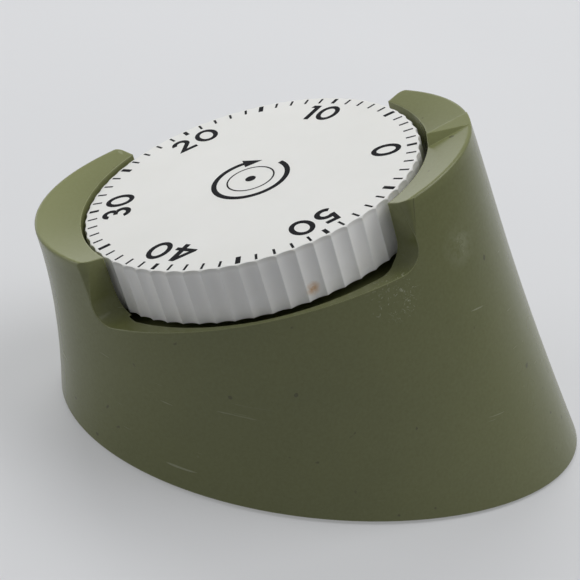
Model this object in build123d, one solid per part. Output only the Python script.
from build123d import *
from math import acos, atan2, cos, degrees, hypot, pi, radians, sin, sqrt
import os

# Sixty-minute wind-up interval timer.
# Millimetres. +Z up, +Y towards the high end (where the pointer is), +X to the right of a
# reader who faces the dial. The origin is under the middle of the whole part, on the surface
# that it stands on.
#
# Nearly every piece is modelled in the dial frame first: its origin is the centre of the dial's
# face, x is the same as +X, y points up the slope towards the pointer, and z points out of the
# dial. DIAL carries it into the part's frame. Depths below the dial face are negative z.

# ---------------------------------------------------------------- dial frame
TILT = 21.7            # slope of the dial, degrees
DIAL_HEIGHT = 51.8     # dial centre above the table
DIAL_Y = -17.25        # dial centre behind the middle of the part
DIAL = Plane(
    origin=(0, DIAL_Y, DIAL_HEIGHT),
    x_dir=(1, 0, 0),
    z_dir=(0, -sin(radians(TILT)), cos(radians(TILT))),
)

# ---------------------------------------------------------------- housing
# Sections parallel to the dial face are ellipses that grow with the depth below it.
SIDE_HALF = 35.4       # half width at the dial face
SIDE_FLARE = 0.0916
LENGTH_HALF = 44.8     # half length at the dial face
LENGTH_FLARE = 0.0604
LENGTH_CURVE = 0.00201
CENTRE_SHIFT = 0.5     # centre of the section, up the slope
CENTRE_FLARE = -0.0208
CENTRE_CURVE = -0.00134
SECTION_DEPTHS = (-8, 8, 26, 48, 70, 92)
TOP_SHIFT = -0.7       # of the highest section's centre, so that the horns lean downhill
WALL = 2.4
ABOVE_ALL = 30.0       # level above every part of the housing
BEYOND_WALL = 62.0     # radius outside every part of the housing at the lip
SHELL_FOOT = 0.8       # the shell's lower edge hangs this far above the table

RIM_HEIGHT = 0.23      # rim's dished top at 35 mm from the axis, above the dial face
RIM_SLOPE = 0.22
RIM_LEAN = 0.945       # degrees, towards the low end
WELL_RADIUS = 35.6
WELL_SHIFT = 0.5       # the knob sits a little low in its well
WELL_FLOOR = -14.0
DECK = 2.4
HORN_END = 51.2        # degrees from the x axis where each horn ends
LIP = -11.8            # level of the lip between the horns
HORN_FOOT_FILLET = 4.6
GAP_RADIUS = 40.55     # the lip's inner edge is flatter than the well
GAP_SHIFT = 5.0
GAP_END_RADIUS = 29.9  # a smaller round brings both ends of this gap back to the well
GAP_END_SHIFT = 10.0
HORN_CORE_RADIUS = 37.9
HORN_CORE_TOP = -3.0
HORN_CORE_FROM = 33.5
CORNER_TOP = 8.0       # level where the horn corners' round would reach its full radius
CORNER_ROUND = 4.8
CORNER_FOOT = -6.2     # level where the round fades out
CORNER_FOOT_ROUND = 0.15
EDGE_ROUND = 0.5

POINTER_TOP = 1.65
POINTER_NEAR = 2.9     # half width of the pointer's foot at the well
POINTER_FAR = 5.5      # how far its top spreads at the outer edge
POINTER_FAR_AT = 43.8
POINTER_FOOT = -0.35

# ---------------------------------------------------------------- dial knob
KNOB_RADIUS = 34.65
FLUTES = 60
FLUTE_DEPTH = 0.45
KNOB_SKIRT = 11.55
KNOB_FACE = 2.2        # thickness of the face
KNOB_BEVEL = 0.3       # of the flutes' crests, where they meet the face
SKIRT_INSIDE = 32.6
HUB_RADIUS = 5.5
HUB_DEPTH = 12.8
RIBS = 6
RIB = 1.2
RIB_DEPTH = 6.0
STOP_AT = 29.5         # radius of the end stop
STOP_LUG = 1.0         # thickness of the knob's stop lug
STOP_PIN_RADIUS = 1.0

# ---------------------------------------------------------------- movement levels (z)
FRONT_PLATE = -20.4
PLATE = 1.4
BACK_PLATE = -35.0
PLATE_RADIUS = 29.5
PLATE_CHORD = -26.0
BACK_FACE = BACK_PLATE - PLATE

ARBOR_RADIUS = 2.5
FLAT = 0.8             # depth of the flat on the arbor inside the knob's hub
BUSH_RADIUS = 4.2
RUNNING = 0.05         # radial clearance of every shaft in its hole

# ---------------------------------------------------------------- train
PRESSURE = 25.0
ADDENDUM = 0.8
DEDENDUM = 1.1
BACKLASH = 0.16
GREAT = dict(teeth=64, module=0.45)
SECOND = dict(teeth=60, module=0.40)
THIRD = dict(teeth=60, module=0.35)
LEAVES = 10
ESCAPE_TEETH = 15
ESCAPE_RADIUS = 5.0
PIVOT_RADIUS = 1.1
VERGE_GAP = 7.0        # escape arbor to verge arbor

TRAIN_START = -15.0    # bearing of the second arbor from the main arbor, degrees
THIRD_RADIUS = 20.0    # distance of each later arbor from the main arbor
ESCAPE_AT = 22.0

# ---------------------------------------------------------------- levels inside the movement
WHEEL = 0.8            # thickness of every wheel
PINION_SPARE = 0.2     # how far a pinion stands proud of its wheel, above and below
GREAT_TOP = -22.6
RATCHET_TOP = -23.45
RATCHET = 0.8
RATCHET_TEETH = 16
RATCHET_RADIUS = 5.4
RATCHET_ROOT = 4.4
CLICK_RIVET = 0.6
THIRD_TOP = -24.7
SPRING_TOP = -25.8
SPRING_WIDTH = 4.6
SPRING_INSIDE = 3.0
SPRING_OUTSIDE = 12.6
SPRING_TURNS = 7.5
SPRING_TAIL = 0.35      # share of the last turn that runs out to the post
SPRING_STRIP = 0.3
ESCAPE_TOP = -28.6
PALLET_GAP = 0.75      # pallets clear the escape wheel through the verge's whole swing
BOB_TOP = -30.6
BOB_REACH = 6.0
CAM_TOP = -31.4
CAM = 1.0
SECOND_TOP = -33.2
ARBOR_END = -38.6
CLIP_TOP = -37.4
CLIP = 0.7
CLIP_GROOVE = 2.0
HAMMER_TOP = -38.6
HAMMER_ARM = 1.0

# ---------------------------------------------------------------- small fittings
BUSH_SEAT = 3.4
PILLAR = 2.2
PILLAR_END = 1.5
NUT = 1.6
POST_PIN = 0.8
POST_RADIUS_INSIDE = 1.2
STRIKE_PIVOT = 1.2
SCREW_RADIUS = 1.5
SCREW_HOLE = 1.7
POST_RADIUS = 3.4      # posts under the deck that the movement is screwed to
BELL_PIN = 1.8
BELL_SCREW = 1.3
WASHER = 0.8
HEAD_PIN = 0.5
FOLLOWER_GAP = 0.3
COVER = 2.0
COVER_TOP = 3.6
COVER_GAP = 0.3
COVER_SCREW = 1.3
BOSS_TOP = 10.5
BOSS_RADIUS = 3.3
BOSS_WEB = 12.0
FOOT_RADIUS = 4.5

# ---------------------------------------------------------------- strike work
STRIKE_BEARING = 215.0
STRIKE_RADIUS = 19.0
CAM_RADIUS = 8.5
BELL_X = 0.0
BELL_Y = 8.0
BELL_RADIUS = 20.0
BELL_WALL = 0.9
BELL_RIM = -39.2
BELL_BOTTOM = -45.4
HAMMER_BEARING = 190.0  # of the hammer's head, seen from the bell's centre
HAMMER_GAP = 0.35
HEAD_RADIUS = 1.7


STANDING = (Align.CENTER, Align.CENTER, Align.MIN)


def polar(radius, bearing):
    return radius * cos(radians(bearing)), radius * sin(radians(bearing))


def bearing_step(r1, r2, gap):
    """Angle at the main arbor between two arbors at radii r1 and r2 that stand gap apart."""
    return degrees(acos((r1 * r1 + r2 * r2 - gap * gap) / (2 * r1 * r2)))


def rod(radius, top, bottom, at=(0, 0)):
    """Upright cylinder between two levels of the dial frame."""
    cylinder = Cylinder(radius, top - bottom, align=STANDING)
    return Pos(at[0], at[1], bottom) * cylinder


def ring(outer, inner, top, bottom, at=(0, 0)):
    return rod(outer, top, bottom, at) - rod(inner, top + 1, bottom - 1, at)


def prism(points, top, bottom):
    face = make_face(Polyline(*points, close=True).edges())
    return Pos(0, 0, bottom) * extrude(face, amount=top - bottom, dir=(0, 0, 1))


def group(solids):
    return Compound(children=[s for item in solids for s in item.solids()])


# arbor positions in the dial frame
SECOND_RADIUS = GREAT["module"] * (GREAT["teeth"] + LEAVES) / 2
SECOND_GAP = SECOND["module"] * (SECOND["teeth"] + LEAVES) / 2
THIRD_GAP = THIRD["module"] * (THIRD["teeth"] + LEAVES) / 2
SECOND_BEARING = TRAIN_START
THIRD_BEARING = SECOND_BEARING + bearing_step(SECOND_RADIUS, THIRD_RADIUS, SECOND_GAP)
ESCAPE_BEARING = THIRD_BEARING + bearing_step(THIRD_RADIUS, ESCAPE_AT, THIRD_GAP)
VERGE_BEARING = ESCAPE_BEARING + bearing_step(ESCAPE_AT, ESCAPE_AT, VERGE_GAP)
SECOND_ARBOR = polar(SECOND_RADIUS, SECOND_BEARING)
THIRD_ARBOR = polar(THIRD_RADIUS, THIRD_BEARING)
ESCAPE_ARBOR = polar(ESCAPE_AT, ESCAPE_BEARING)
VERGE_ARBOR = polar(ESCAPE_AT, VERGE_BEARING)
STRIKE_ARBOR = polar(STRIKE_RADIUS, STRIKE_BEARING)

PILLARS = [polar(24.0, bearing) for bearing in (-54, 135, 188, 250)]
SCREWS = [polar(24.0, bearing) for bearing in (-72, 112, 170)]
SPRING_POST_RADIUS = 16.4
SPRING_POST = polar(SPRING_POST_RADIUS, 180)
CLICK_AT = polar(8.6, 70)
CLICK_SPRING_AT = polar(9.7, 95)
STOP_BEARING = 270.0
STOP_STEP = degrees((STOP_LUG / 2 + STOP_PIN_RADIUS + 0.05) / STOP_AT)
STOP_PIN = polar(STOP_AT, STOP_BEARING + STOP_STEP)
BELL_SLOTS_Y = 7.0
BELL_AXIS_GAP = BELL_RADIUS + HAMMER_GAP + HEAD_RADIUS
HAMMER_HEAD = (
    BELL_X + BELL_AXIS_GAP * cos(radians(HAMMER_BEARING)),
    BELL_Y + BELL_AXIS_GAP * sin(radians(HAMMER_BEARING)),
)
BOSSES = ((-26.0, -28.0), (26.0, -28.0), (-26.0, 31.0), (26.0, 31.0))
FEET = ((-17.0, -37.0), (17.0, -37.0), (-18.0, 41.0), (18.0, 41.0))


def direction(start, end):
    """Bearing from one arbor to another, degrees."""
    return degrees(atan2(end[1] - start[1], end[0] - start[0]))


# ---------------------------------------------------------------- gears
def involute_angle(radius, base):
    """Polar angle of an involute at a radius, from where it leaves its base circle."""
    reach = sqrt(max((radius / base) ** 2 - 1, 0))
    return reach - acos(min(base / radius, 1.0))


def gear(teeth, module, top, bottom, bore, tooth_at):
    """Spur gear with one tooth centred on the bearing tooth_at."""
    pitch = module * teeth / 2
    base = pitch * cos(radians(PRESSURE))
    root = pitch - DEDENDUM * module
    tip = pitch + ADDENDUM * module
    half_pitch = (pi * module / 2 - BACKLASH / 2) / 2 / pitch
    half_base = half_pitch + involute_angle(pitch, base)
    start = max(base, root)
    radii = [start + (tip - start) * k / 4 for k in range(5)]
    flank = [(r, half_base - involute_angle(r, base)) for r in radii]
    if root < base:
        flank.insert(0, (root, half_base))
    outline = []
    for k in range(teeth):
        centre = radians(tooth_at) + 2 * pi * k / teeth
        outline += [(r * cos(centre - a), r * sin(centre - a)) for r, a in flank]
        outline += [(r * cos(centre + a), r * sin(centre + a)) for r, a in reversed(flank)]
    return prism(outline, top, bottom) - rod(bore, top + 1, bottom - 1)


# ---------------------------------------------------------------- housing pieces
def body_section(depth, inset):
    """Elliptical section of the housing, in two halves that meet at its left and right ends."""
    centre = CENTRE_SHIFT + CENTRE_FLARE * depth + CENTRE_CURVE * depth * depth
    if depth == SECTION_DEPTHS[0]:
        centre += TOP_SHIFT
    half_length = LENGTH_HALF + LENGTH_FLARE * depth + LENGTH_CURVE * depth * depth - inset
    half_width = SIDE_HALF + SIDE_FLARE * depth - inset
    upper = EllipticalCenterArc((0, 0), half_width, half_length, 0, arc_size=180)
    lower = EllipticalCenterArc((0, 0), half_width, half_length, 180, arc_size=180)
    return Pos(0, centre, -depth) * make_face([upper, lower])


def body_solid(inset=0.0):
    """The housing's outer form, or the same form drawn in by inset, open above and below."""
    return loft([body_section(depth, inset) for depth in SECTION_DEPTHS])


def table_slab(low, high):
    """Slab of the part's frame between two heights above the table, given in the dial frame."""
    slab = Box(200, 260, high - low, align=STANDING)
    return DIAL.location.inverse() * (Pos(0, 0, low) * slab)


def from_table(x, y, low, high, radius):
    """Rod that is upright on the table, given in the dial frame."""
    return DIAL.location.inverse() * rod(radius, high, low, (x, y))


def rim_dish():
    """Everything above the rim's dished top."""
    reach = 70.0
    low = RIM_HEIGHT - RIM_SLOPE * 35.0
    high = low + RIM_SLOPE * reach
    outline = Polyline((0, low), (reach, high), (reach, 60), (0, 60), close=True)
    profile = Plane.XZ * make_face(outline.edges())
    return Rot(X=-RIM_LEAN) * revolve(profile, Axis.Z)


def well():
    return rod(WELL_RADIUS, ABOVE_ALL, WELL_FLOOR, (0, WELL_SHIFT))


def scoop():
    """Finger cutaway on the right side, from horn to horn, with a round at the foot of each horn."""
    x, y = polar(BEYOND_WALL, HORN_END)
    outline = [(0, 0), (x, -y), (x + y, -y), (x + y, y), (x, y)]
    wedge = prism(outline, ABOVE_ALL, LIP)
    bottom = wedge.edges().group_by(Axis.Z)[0]
    foot = [edge for edge in bottom if abs(edge.center().X - x / 2) < 1]
    wedge = fillet(foot, HORN_FOOT_FILLET)
    return Rot(X=-RIM_LEAN) * wedge


def finger_gap():
    """Widens the well behind the lip, where the knob's skirt can be gripped."""
    above = LIP + 0.5
    opening = rod(GAP_RADIUS, above, WELL_FLOOR, (-GAP_SHIFT, WELL_SHIFT / 2))
    return opening & rod(GAP_END_RADIUS, above, WELL_FLOOR, (GAP_END_SHIFT, WELL_SHIFT / 2))


def corner_outline(level, radius, horn):
    """Outline, at one level, of the cutter that rounds the outer corner of a horn's right end."""
    wall = body_section(-level, 0).edges().sort_by(Axis.Y)[0 if horn < 0 else -1]
    along = Vector(*polar(1, HORN_END * horn))
    into_horn = Vector(-along.Y, along.X) * horn
    near, far = WELL_RADIUS - radius, WELL_RADIUS * 1.5
    for _ in range(24):
        middle = (near + far) / 2
        centre = along * middle + into_horn * radius + Vector(0, 0, level)
        gap, on_wall, _ = wall.distance_to_with_closest_points(centre)
        fits = gap > radius and hypot(centre.X, centre.Y) < hypot(on_wall.X, on_wall.Y)
        near, far = (middle, far) if fits else (near, middle)
    outward = (on_wall - centre).normalized()
    at_end = centre - into_horn * radius
    halfway = centre + (outward - into_horn).normalized() * radius
    beyond = centre + (outward - into_horn) * (radius + 1)
    return make_face(
        [
            ThreePointArc(at_end, halfway, on_wall),
            Line(on_wall, on_wall + outward),
            Line(on_wall + outward, beyond),
            Line(beyond, at_end - into_horn),
            Line(at_end - into_horn, at_end),
        ]
    )


def horn_corner(horn):
    """Cutter for one horn corner: a round that is widest at the top and fades out at the foot."""
    top = corner_outline(CORNER_TOP, CORNER_ROUND, horn)
    foot = corner_outline(CORNER_FOOT, CORNER_FOOT_ROUND, horn)
    return loft([foot, top], ruled=True)


def pointer():
    """Raised pointer on the high horn: flat top, a steep near side and a slanted far side."""
    near = WELL_RADIUS - 0.6
    far = POINTER_FAR_AT + 6
    slope = (POINTER_TOP - POINTER_FOOT) / POINTER_NEAR
    deep = POINTER_FOOT - 2
    behind = -3 * POINTER_FAR
    foot = (POINTER_TOP - deep) / slope
    section = Polyline((0, POINTER_TOP), (foot, deep), (behind, deep), (behind, POINTER_TOP), close=True)
    roof = extrude(Plane.XZ * make_face(section.edges()), amount=far - near, dir=(0, 1, 0))
    roof = Pos(0, near, 0) * roof
    top = Vector(0, WELL_RADIUS + WELL_SHIFT, POINTER_TOP)
    out = Vector(-POINTER_FAR, POINTER_FAR_AT, POINTER_TOP)
    base = Vector(-POINTER_NEAR, WELL_RADIUS + WELL_SHIFT, POINTER_FOOT)
    normal = (out - top).cross(base - top)
    if normal.X > 0:
        normal = -normal
    return split(roof, bisect_by=Plane(origin=top, z_dir=normal), keep=Keep.BOTTOM)


def hollow_body():
    """The body with its dished rim, its well and its hollows, before the finger cutaways."""
    core = body_solid(WALL)
    below_deck = core - rod(80, 40, WELL_FLOOR - DECK)
    horn_core = (core - rod(80, 60, HORN_CORE_TOP)) - rod(HORN_CORE_RADIUS, 60, -120)
    horn_core -= Box(120, 2 * HORN_CORE_FROM, 200)
    horn_core -= rod(80, -30, -120)
    body = body_solid() - rim_dish()
    body -= table_slab(-80, SHELL_FOOT)
    body -= below_deck
    body -= horn_core
    body -= well()
    return body


def rim_edges(body):
    """The outer edges of the dished rim, one on each horn."""
    above = [edge for edge in body.edges() if edge.center().Z > 0]
    return [edge for edge in above if abs(edge.center().Y) > LENGTH_HALF - 2]


def housing_shell():
    shell = hollow_body()
    shell = fillet(rim_edges(shell), EDGE_ROUND)
    cutters = [scoop(), finger_gap(), horn_corner(1), horn_corner(-1)]
    for cutter in cutters:
        shell -= cutter
        shell -= mirror(cutter, Plane.YZ)
    return shell + ((pointer() & body_solid()) - well())


def finished_shell():
    """The shell with its cover bosses, movement posts, screw holes and stop-pin hole."""
    shell = housing_shell()
    reach = body_solid(WALL / 2)
    for x, y in BOSSES:
        web = Box(BOSS_WEB, 2 * BOSS_RADIUS, BOSS_TOP - COVER_TOP, align=STANDING)
        toward_wall = BOSS_WEB / 2 if x > 0 else -BOSS_WEB / 2
        web = DIAL.location.inverse() * (Pos(x + toward_wall, y, COVER_TOP) * web)
        boss = from_table(x, y, COVER_TOP, BOSS_TOP, BOSS_RADIUS)
        shell += (boss + web) & reach
    for x, y in BOSSES:
        shell -= from_table(x, y, COVER_TOP - 1, BOSS_TOP - 1.5, COVER_SCREW)
    for at in SCREWS:
        shell += rod(POST_RADIUS, WELL_FLOOR - DECK / 2, FRONT_PLATE, at)
    for at in SCREWS:
        shell -= rod(SCREW_HOLE, WELL_FLOOR + 1, FRONT_PLATE - 1, at)
    shell -= rod(HUB_RADIUS + 1.5, WELL_FLOOR + 1, WELL_FLOOR - DECK - 1)
    shell -= rod(STOP_PIN_RADIUS, WELL_FLOOR + 1, WELL_FLOOR - DECK - 1, STOP_PIN)
    return shell


def base_cover():
    """Plate that closes the bottom, with a fan of sound slots under the bell."""
    plate = body_solid(WALL + COVER_GAP) & table_slab(COVER_TOP - COVER, COVER_TOP)
    plate = DIAL.location * plate
    for k in range(-3, 4):
        slot = SlotOverall(26 - 3 * abs(k), 2.2)
        plate -= Pos(0, BELL_SLOTS_Y + 5.0 * k, 0) * extrude(slot, amount=10)
    for x, y in BOSSES:
        plate -= rod(COVER_SCREW + 0.2, COVER_TOP + 1, COVER_TOP - COVER - 1, (x, y))
    return DIAL.location.inverse() * plate


def feet():
    return group([from_table(x, y, 0, COVER_TOP - COVER, FOOT_RADIUS) for x, y in FEET])


def cover_screws():
    screws = []
    for x, y in BOSSES:
        head = from_table(x, y, COVER_TOP - COVER - 1.1, COVER_TOP - COVER, 2.6)
        slot = Box(6, 0.7, 0.6, align=STANDING)
        slot = DIAL.location.inverse() * (Pos(x, y, COVER_TOP - COVER - 1.1) * slot)
        shank = from_table(x, y, COVER_TOP - COVER, BOSS_TOP - 2, COVER_SCREW)
        screws.append(head + shank - slot)
    return group(screws)


# ---------------------------------------------------------------- dial body
def flute_outline():
    step = 360 / FLUTES
    edges = []
    for k in range(FLUTES):
        start = polar(KNOB_RADIUS, 90 + k * step)
        middle = polar(KNOB_RADIUS - FLUTE_DEPTH, 90 + (k + 0.5) * step)
        end = polar(KNOB_RADIUS, 90 + (k + 1) * step)
        edges.append(ThreePointArc(start, middle, end))
    return make_face(edges)


def dial_knob():
    """Fluted cap with a hub for the arbor, ribs, and the lug of the end stop."""
    knob = Pos(0, 0, -KNOB_SKIRT) * extrude(flute_outline(), amount=KNOB_SKIRT, dir=(0, 0, 1))
    knob &= chamfer(rod(KNOB_RADIUS, 0, -KNOB_SKIRT).edges().sort_by(Axis.Z)[-1], KNOB_BEVEL)
    knob -= rod(SKIRT_INSIDE, -KNOB_FACE, -KNOB_SKIRT - 1)
    for k in range(RIBS):
        rib = Box(SKIRT_INSIDE, RIB, RIB_DEPTH - KNOB_FACE, align=(Align.MIN, Align.CENTER, Align.MAX))
        knob += Rot(Z=90 + k * 360 / RIBS) * Pos(0.5, 0, -KNOB_FACE) * rib
    knob += rod(HUB_RADIUS, -KNOB_FACE, -HUB_DEPTH)
    lug = Box(5.0, STOP_LUG, HUB_DEPTH - KNOB_FACE, align=(Align.CENTER, Align.CENTER, Align.MAX))
    knob += Rot(Z=STOP_BEARING) * Pos(STOP_AT + 1.0, 0, -KNOB_FACE) * lug
    return knob - arbor_end(-KNOB_FACE - 0.3, -HUB_DEPTH - 1)


def arbor_end(top, bottom):
    """Round arbor with its flat, for the arbor and for the hole that it fits."""
    shaft = rod(ARBOR_RADIUS, top, bottom)
    return shaft - Pos(0, ARBOR_RADIUS - FLAT + 5, (top + bottom) / 2) * Box(20, 10, top - bottom + 2)


def main_arbor():
    shaft = arbor_end(-KNOB_FACE - 0.3, -HUB_DEPTH) + rod(ARBOR_RADIUS, -HUB_DEPTH, ARBOR_END)
    groove = ring(ARBOR_RADIUS + 1, CLIP_GROOVE, CLIP_TOP, CLIP_TOP - CLIP)
    return shaft - groove


def arbor_clip():
    clip = ring(4.4, CLIP_GROOVE, CLIP_TOP, CLIP_TOP - CLIP)
    return clip - Pos(0, -4, CLIP_TOP) * Box(2.6, 8, 4)


def great_wheel():
    teeth, module = GREAT["teeth"], GREAT["module"]
    wheel = gear(teeth, module, GREAT_TOP, GREAT_TOP - WHEEL, ARBOR_RADIUS, SECOND_BEARING)
    for k in range(4):
        window = Pos(0, 0, GREAT_TOP) * Rot(Z=30 + 90 * k) * Pos(10.2, 0, 0) * Cylinder(2.1, 8)
        wheel -= window
    for at in (CLICK_AT, CLICK_SPRING_AT):
        wheel -= rod(CLICK_RIVET, GREAT_TOP + 1, GREAT_TOP - WHEEL - 1, at)
    return wheel


def ratchet_wheel():
    """Saw-toothed wheel fixed to the arbor; the click lets it turn one way over the great wheel."""
    outline = []
    for k in range(RATCHET_TEETH):
        start = 360 / RATCHET_TEETH * k
        outline += [polar(RATCHET_RADIUS, start), polar(RATCHET_ROOT, start + 3)]
    return prism(outline, RATCHET_TOP, RATCHET_TOP - RATCHET) - rod(ARBOR_RADIUS, 0, -60)


def ratchet_click():
    """Pawl that rests against the steep side of one ratchet tooth."""
    outline = [polar(4.62, 49.8), polar(5.8, 47.0), polar(8.9, 61.0), polar(7.6, 75.0), polar(5.7, 60.0)]
    pawl = prism(outline, RATCHET_TOP, RATCHET_TOP - RATCHET)
    pawl += rod(1.4, RATCHET_TOP, RATCHET_TOP - RATCHET, CLICK_AT)
    return pawl - rod(CLICK_RIVET, 0, -60, CLICK_AT)


def click_spring():
    """Leaf that presses on the back of the click, pinned to the great wheel."""
    path = [(9.7, 95.0), (10.5, 84.0), (10.5, 66.0), (9.1, 60.5)]
    inner = [polar(r, bearing) for r, bearing in path]
    outer = [polar(r + 0.3, bearing) for r, bearing in path]
    leaf = prism(inner[::-1] + outer, RATCHET_TOP, RATCHET_TOP - RATCHET)
    leaf += rod(0.9, RATCHET_TOP, RATCHET_TOP - RATCHET, CLICK_SPRING_AT)
    return leaf + rod(CLICK_RIVET, GREAT_TOP + 0.2, RATCHET_TOP, CLICK_SPRING_AT)


def click_rivet():
    stem = rod(CLICK_RIVET, GREAT_TOP, RATCHET_TOP - RATCHET, CLICK_AT)
    stem += rod(1.2, GREAT_TOP + 0.3, GREAT_TOP, CLICK_AT)
    return stem + rod(1.0, RATCHET_TOP - RATCHET, RATCHET_TOP - RATCHET - 0.25, CLICK_AT)


def strike_cam():
    """Disc on the arbor with the notch that the hammer's follower drops into at zero."""
    cam = ring(CAM_RADIUS, ARBOR_RADIUS, CAM_TOP, CAM_TOP - CAM)
    notch = Rot(Z=STRIKE_BEARING) * Pos(CAM_RADIUS, 0, CAM_TOP) * Cylinder(1.3, 6)
    return cam - notch


# ---------------------------------------------------------------- movement frame
def plate(top):
    """Movement plate: a disc with a straight front edge, and a hole for every arbor and pillar."""
    blank = rod(PLATE_RADIUS, top, top - PLATE)
    blank -= Pos(0, PLATE_CHORD - 20, top) * Box(80, 40, 10)
    blank -= rod(BUSH_SEAT, top + 1, top - PLATE - 1)
    for at in (SECOND_ARBOR, THIRD_ARBOR, ESCAPE_ARBOR, VERGE_ARBOR):
        blank -= rod(PIVOT_RADIUS + RUNNING, top + 1, top - PLATE - 1, at)
    blank -= rod(STRIKE_PIVOT + RUNNING, top + 1, top - PLATE - 1, STRIKE_ARBOR)
    for at in PILLARS:
        blank -= rod(PILLAR_END, top + 1, top - PLATE - 1, at)
    blank -= rod(POST_PIN, top + 1, top - PLATE - 1, SPRING_POST)
    return blank


def front_plate():
    blank = plate(FRONT_PLATE)
    for at in SCREWS:
        blank -= rod(SCREW_RADIUS, FRONT_PLATE + 1, FRONT_PLATE - PLATE - 1, at)
    return blank


def back_plate():
    return plate(BACK_PLATE) - rod(BELL_PIN, BACK_PLATE + 1, BACK_FACE - 1, (BELL_X, BELL_Y))


def plate_pillars():
    inside = FRONT_PLATE - PLATE
    pillars = []
    for at in PILLARS:
        pillar = rod(PILLAR, inside, BACK_PLATE, at)
        pillar += rod(PILLAR_END, FRONT_PLATE + 0.5, inside, at)
        pillar += rod(PILLAR_END, BACK_PLATE, BACK_FACE - NUT - 0.4, at)
        pillars.append(pillar)
    return group(pillars)


def pillar_nuts():
    nuts = []
    for x, y in PILLARS:
        nut = Pos(x, y, BACK_FACE - NUT) * extrude(RegularPolygon(2.9, 6), amount=NUT)
        nuts.append(nut - rod(PILLAR_END, 0, -60, (x, y)))
    return group(nuts)


def bush(top, bottom, flange_top):
    sleeve = ring(BUSH_SEAT, ARBOR_RADIUS + RUNNING, top, bottom)
    return sleeve + ring(BUSH_RADIUS, ARBOR_RADIUS + RUNNING, flange_top, flange_top - 0.8)


def movement_screws():
    screws = []
    for x, y in SCREWS:
        head = rod(2.8, WELL_FLOOR + 1.5, WELL_FLOOR, (x, y))
        slot = Pos(x, y, WELL_FLOOR + 1.5) * Box(6, 0.7, 1.4)
        shank = rod(SCREW_RADIUS, WELL_FLOOR, FRONT_PLATE - PLATE - 0.6, (x, y))
        screws.append(head - slot + shank)
    return group(screws)


def mainspring():
    """Flat spring round the arbor, with its outer end hooked on the spring post."""
    steps = 24
    count = int(SPRING_TURNS * steps)

    def coil(offset):
        points = []
        for k in range(count + 1):
            bearing = 180 - 360 * (count - k) / steps
            tail = max(0, k - count + SPRING_TAIL * steps) / (SPRING_TAIL * steps)
            radius = SPRING_INSIDE + (SPRING_OUTSIDE - SPRING_INSIDE) * k / count
            radius += (SPRING_POST_RADIUS - 1.5 - SPRING_OUTSIDE) * tail * tail
            points.append(polar(radius + offset, bearing))
        return points

    inner = coil(0)
    outer = coil(SPRING_STRIP)
    strip = prism(inner + outer[::-1], SPRING_TOP, SPRING_TOP - SPRING_WIDTH)
    bore = POST_RADIUS_INSIDE + RUNNING
    return strip + ring(bore + SPRING_STRIP, bore, SPRING_TOP, SPRING_TOP - SPRING_WIDTH, SPRING_POST)


def spring_post():
    post = rod(POST_RADIUS_INSIDE, FRONT_PLATE - PLATE, BACK_PLATE, SPRING_POST)
    post += rod(POST_PIN, FRONT_PLATE + 0.4, FRONT_PLATE - PLATE, SPRING_POST)
    return post + rod(POST_PIN, BACK_PLATE, BACK_FACE - 0.4, SPRING_POST)


# ---------------------------------------------------------------- train arbors
def arbor(at, radius=PIVOT_RADIUS, low=None):
    return rod(radius, FRONT_PLATE + 0.4, low if low is not None else BACK_FACE - 0.4, at)


def wheel_at(at, size, top, next_at):
    """Train wheel with one tooth on the line to the arbor that it drives."""
    wheel = gear(size["teeth"], size["module"], top, top - WHEEL, PIVOT_RADIUS, direction(at, next_at))
    pitch = size["module"] * size["teeth"] / 2
    for k in range(4):
        hole = Pos(pitch * 0.58, 0, top) * Cylinder(pitch * 0.24, 8)
        wheel -= Rot(Z=direction(at, next_at) + 45 + 90 * k) * hole
    return Pos(at[0], at[1], 0) * wheel


def pinion_at(at, module, wheel_top, driver_at):
    """Ten-leaf pinion with one gap on the line to the wheel that drives it."""
    gap = direction(at, driver_at)
    top = wheel_top + PINION_SPARE
    bottom = wheel_top - WHEEL - PINION_SPARE
    return Pos(at[0], at[1], 0) * gear(LEAVES, module, top, bottom, PIVOT_RADIUS, gap + 180 / LEAVES)


def escape_wheel():
    outline = []
    step = 360 / ESCAPE_TEETH
    for k in range(ESCAPE_TEETH):
        outline += [
            polar(ESCAPE_RADIUS, k * step),
            polar(ESCAPE_RADIUS - 0.2, k * step + 3),
            polar(ESCAPE_RADIUS - 1.5, k * step + 5),
            polar(ESCAPE_RADIUS - 1.6, k * step + 15),
        ]
    x, y = ESCAPE_ARBOR
    wheel = prism(outline, ESCAPE_TOP, ESCAPE_TOP - 0.8) - rod(PIVOT_RADIUS, 0, -60)
    return Pos(x, y, 0) * wheel


def verge_anchor():
    """Two pallets that straddle the escape wheel, on an arm fixed to the verge arbor."""
    reach = ESCAPE_RADIUS + PALLET_GAP
    span = 38.0
    left, right = polar(reach, 90 + span), polar(reach, 90 - span)
    out_left, out_right = polar(reach + 1.3, 90 + span + 4), polar(reach + 1.3, 90 - span - 4)
    crown = VERGE_GAP + 1.9
    inside = VERGE_GAP - 1.35
    outline = [left, out_left, (-1.6, crown), (1.6, crown), out_right, right]
    outline += [(0.9, inside), (-0.9, inside)]
    anchor = prism(outline, ESCAPE_TOP, ESCAPE_TOP - 0.8)
    anchor -= rod(PIVOT_RADIUS, 0, -60, (0, VERGE_GAP))
    x, y = ESCAPE_ARBOR
    return Pos(x, y, 0) * Rot(Z=direction(ESCAPE_ARBOR, VERGE_ARBOR) - 90) * anchor


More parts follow.
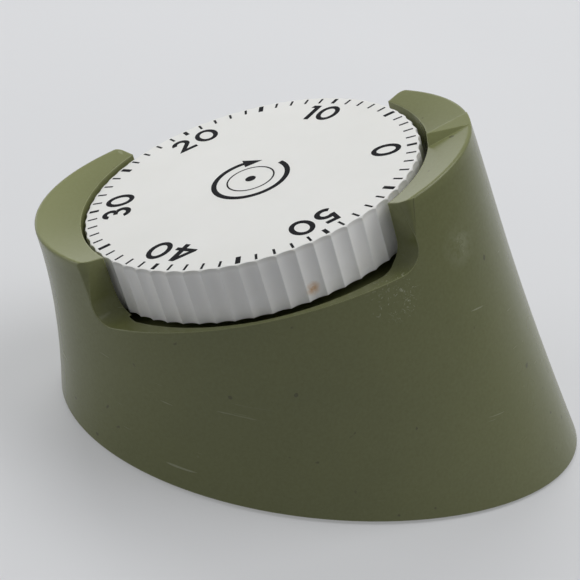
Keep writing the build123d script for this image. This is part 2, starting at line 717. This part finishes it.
def inertia_bar():
    """Weighted bar on the verge arbor, which slows the escapement to a steady tick."""
    bar = Pos(0, 0, BOB_TOP - 0.6) * Box(2 * BOB_REACH, 2.4, 1.2)
    bar += rod(2.4, BOB_TOP, BOB_TOP - 1.2)
    for side in (-1, 1):
        bar += rod(1.6, BOB_TOP, BOB_TOP - 3.2, (side * BOB_REACH, 0))
    bar -= rod(PIVOT_RADIUS, 0, -60)
    x, y = VERGE_ARBOR
    return Pos(x, y, 0) * Rot(Z=VERGE_BEARING) * bar


# ---------------------------------------------------------------- strike work and bell
def strike_arbor():
    return arbor(STRIKE_ARBOR, STRIKE_PIVOT, HAMMER_TOP - HAMMER_ARM)


def cam_follower():
    """Arm from the strike arbor to the edge of the cam."""
    x, y = STRIKE_ARBOR
    length = STRIKE_RADIUS - CAM_RADIUS - FOLLOWER_GAP
    toward = STRIKE_BEARING + 180
    arm = Pos(length / 2, 0, CAM_TOP - CAM / 2) * Box(length, 2.0, CAM)
    arm += rod(2.6, CAM_TOP, CAM_TOP - CAM)
    arm -= rod(STRIKE_PIVOT, 0, -60)
    return Pos(x, y, 0) * Rot(Z=toward) * arm


def hammer_arm():
    x, y = STRIKE_ARBOR
    length = hypot(HAMMER_HEAD[0] - x, HAMMER_HEAD[1] - y)
    arm = Pos(length / 2, 0, HAMMER_TOP - HAMMER_ARM / 2) * Box(length, 1.6, HAMMER_ARM)
    arm += rod(2.4, HAMMER_TOP, HAMMER_TOP - HAMMER_ARM) - rod(STRIKE_PIVOT, 0, -60)
    arm -= rod(STRIKE_PIVOT, 0, -60)
    arm -= rod(HEAD_PIN, 0, -60, (length, 0))
    return Pos(x, y, 0) * Rot(Z=direction(STRIKE_ARBOR, HAMMER_HEAD)) * arm


def hammer_head():
    head = rod(HEAD_RADIUS, HAMMER_TOP - HAMMER_ARM, HAMMER_TOP - HAMMER_ARM - 4.0, HAMMER_HEAD)
    return head + rod(HEAD_PIN, HAMMER_TOP + 0.3, HAMMER_TOP - HAMMER_ARM, HAMMER_HEAD)


def gong_bell():
    """Shallow steel cup, mouth towards the movement, hung from its middle."""
    cup = rod(BELL_RADIUS, BELL_RIM, BELL_BOTTOM)
    cup = fillet(cup.faces().sort_by(Axis.Z)[0].edges(), 2.6)
    hollow = rod(BELL_RADIUS - BELL_WALL, BELL_RIM + 1, BELL_BOTTOM + BELL_WALL)
    hollow = fillet(hollow.faces().sort_by(Axis.Z)[0].edges(), 2.6 - BELL_WALL)
    cup = cup - hollow - rod(BELL_SCREW, BELL_RIM, BELL_BOTTOM - 1)
    return Pos(BELL_X, BELL_Y, 0) * cup


def bell_post():
    post = rod(3.0, BACK_FACE, BELL_BOTTOM + BELL_WALL + WASHER)
    post += rod(BELL_PIN, BACK_PLATE + 0.4, BACK_FACE)
    post -= rod(BELL_SCREW, BELL_BOTTOM + 5, BELL_BOTTOM)
    return Pos(BELL_X, BELL_Y, 0) * post


def bell_washer():
    inner = BELL_BOTTOM + BELL_WALL
    return Pos(BELL_X, BELL_Y, 0) * ring(4.2, BELL_SCREW, inner + WASHER, inner)


def bell_screw():
    screw = rod(BELL_SCREW, BELL_BOTTOM + 4.5, BELL_BOTTOM)
    head = rod(3.0, BELL_BOTTOM, BELL_BOTTOM - 1.5)
    head -= Pos(0, 0, BELL_BOTTOM - 1.5) * Box(7, 0.8, 1.4)
    return Pos(BELL_X, BELL_Y, 0) * (screw + head)


def stop_pin():
    return rod(STOP_PIN_RADIUS, WELL_FLOOR + 3.2, WELL_FLOOR - DECK, STOP_PIN)


PIECES = {
    "housing_shell": finished_shell,
    "base_cover": base_cover,
    "rubber_feet": feet,
    "cover_screws": cover_screws,
    "movement_screws": movement_screws,
    "stop_pin": stop_pin,
    "dial_knob": dial_knob,
    "main_arbor": main_arbor,
    "arbor_clip": arbor_clip,
    "great_wheel": great_wheel,
    "ratchet_wheel": ratchet_wheel,
    "ratchet_click": ratchet_click,
    "click_spring": click_spring,
    "click_rivet": click_rivet,
    "strike_cam": strike_cam,
    "front_plate": front_plate,
    "back_plate": back_plate,
    "plate_pillars": plate_pillars,
    "pillar_nuts": pillar_nuts,
    "front_bush": lambda: bush(FRONT_PLATE, FRONT_PLATE - PLATE, FRONT_PLATE + 0.8),
    "back_bush": lambda: bush(BACK_PLATE, BACK_FACE, BACK_FACE),
    "mainspring": mainspring,
    "spring_post": spring_post,
    "second_arbor": lambda: arbor(SECOND_ARBOR),
    "second_pinion": lambda: pinion_at(SECOND_ARBOR, GREAT["module"], GREAT_TOP, (0, 0)),
    "second_wheel": lambda: wheel_at(SECOND_ARBOR, SECOND, SECOND_TOP, THIRD_ARBOR),
    "third_arbor": lambda: arbor(THIRD_ARBOR),
    "third_pinion": lambda: pinion_at(THIRD_ARBOR, SECOND["module"], SECOND_TOP, SECOND_ARBOR),
    "third_wheel": lambda: wheel_at(THIRD_ARBOR, THIRD, THIRD_TOP, ESCAPE_ARBOR),
    "escape_arbor": lambda: arbor(ESCAPE_ARBOR),
    "escape_pinion": lambda: pinion_at(ESCAPE_ARBOR, THIRD["module"], THIRD_TOP, THIRD_ARBOR),
    "escape_wheel": escape_wheel,
    "verge_arbor": lambda: arbor(VERGE_ARBOR),
    "verge_anchor": verge_anchor,
    "inertia_bar": inertia_bar,
    "strike_arbor": strike_arbor,
    "cam_follower": cam_follower,
    "hammer_arm": hammer_arm,
    "hammer_head": hammer_head,
    "gong_bell": gong_bell,
    "bell_post": bell_post,
    "bell_washer": bell_washer,
    "bell_screw": bell_screw,
}


def main():
    os.makedirs("parts", exist_ok=True)
    for name, make in PIECES.items():
        piece = DIAL.location * make()
        piece.label = name
        export_step(piece, "parts/" + name + ".step")
        print(name, len(piece.solids()), round(piece.volume, 1))


if __name__ == "__main__":
    main()
